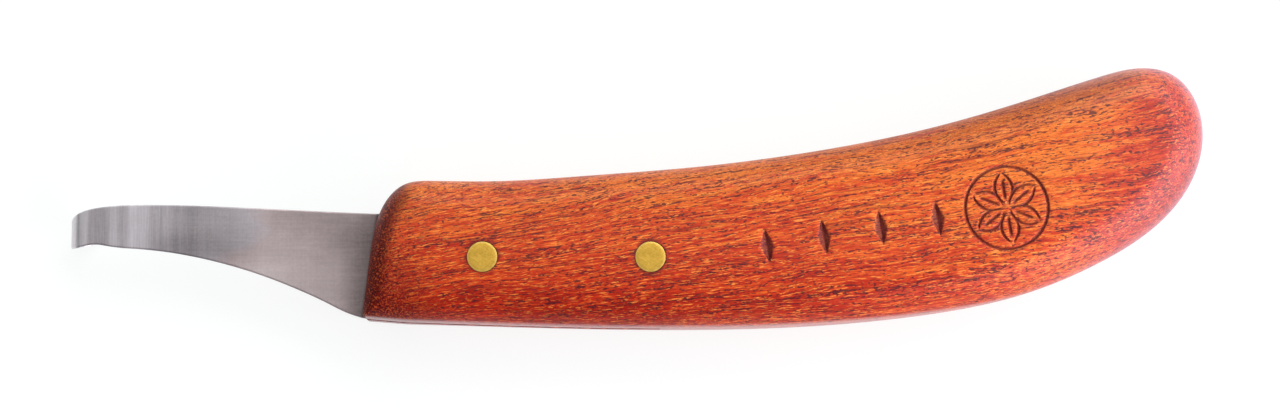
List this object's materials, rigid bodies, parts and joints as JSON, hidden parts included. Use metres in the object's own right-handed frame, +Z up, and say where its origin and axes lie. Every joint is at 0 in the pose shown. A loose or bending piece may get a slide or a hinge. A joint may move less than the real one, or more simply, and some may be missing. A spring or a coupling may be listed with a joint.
{
  "type": "hoof knife",
  "caption": "Farrier's hoof knife: curved steel blade rolled into a small hook at its tip, its tang pinned in a slotted hardwood handle.",
  "frame": {"origin": "middle of the knife's bounding box, on the side of the handle that the knife lies on", "axes": "+X from the hook to the butt, +Y from the cutting edge to the spine, +Z up, away from the side that the knife lies on and against the way the hook rolls"},
  "size_m": [0.2041, 0.0468, 0.02],
  "materials": {
    "blade_steel": "satin, cross-ground",
    "handle_wood": "oiled and waxed red hardwood",
    "pin_brass": "ground flush, satin"
  },
  "bodies": {
    "root": {"blade": "blade_steel", "handle": "handle_wood", "front_pin": "pin_brass", "rear_pin": "pin_brass"}
  },
  "joints": []
}
